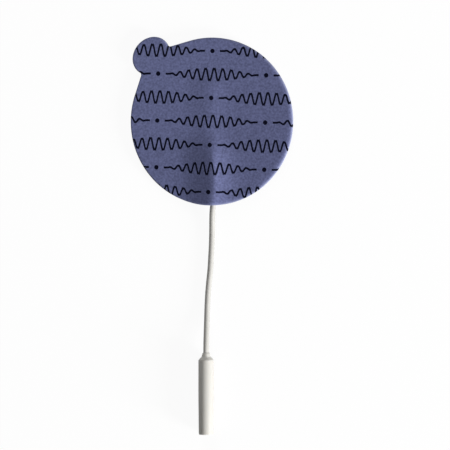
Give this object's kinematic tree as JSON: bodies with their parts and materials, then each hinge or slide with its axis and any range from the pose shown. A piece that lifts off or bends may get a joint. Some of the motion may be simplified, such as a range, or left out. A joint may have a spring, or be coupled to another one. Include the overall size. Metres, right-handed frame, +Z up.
{
  "type": "tens electrode pad",
  "caption": "Round self-adhesive electrode pad with a lift tab, a conductive gel face and a short white lead that ends in a moulded pin socket.",
  "frame": {"origin": "centre of the gel face, which lies on z = 0", "axes": "+Z up out of the printed cover, -Y along the lead towards its socket, the lift tab at -X +Y"},
  "size_m": [0.07, 0.1662, 0.0066],
  "materials": {
    "cover_foam": "closed-cell foam, fine matte skin, printed",
    "carbon_film": "carbon-loaded film, matte",
    "gel": "translucent tacky gel, wet sheen",
    "strands": "drawn fine strands",
    "white_vinyl": "smooth soft vinyl",
    "contact": "nickelled sheet"
  },
  "bodies": {
    "root": {"backing": "cover_foam", "conductive_film": "carbon_film", "hydrogel": "gel", "wire_strands": "strands", "lead_wire": "white_vinyl", "socket_sleeve": "white_vinyl", "socket_contact": "contact"}
  },
  "joints": []
}
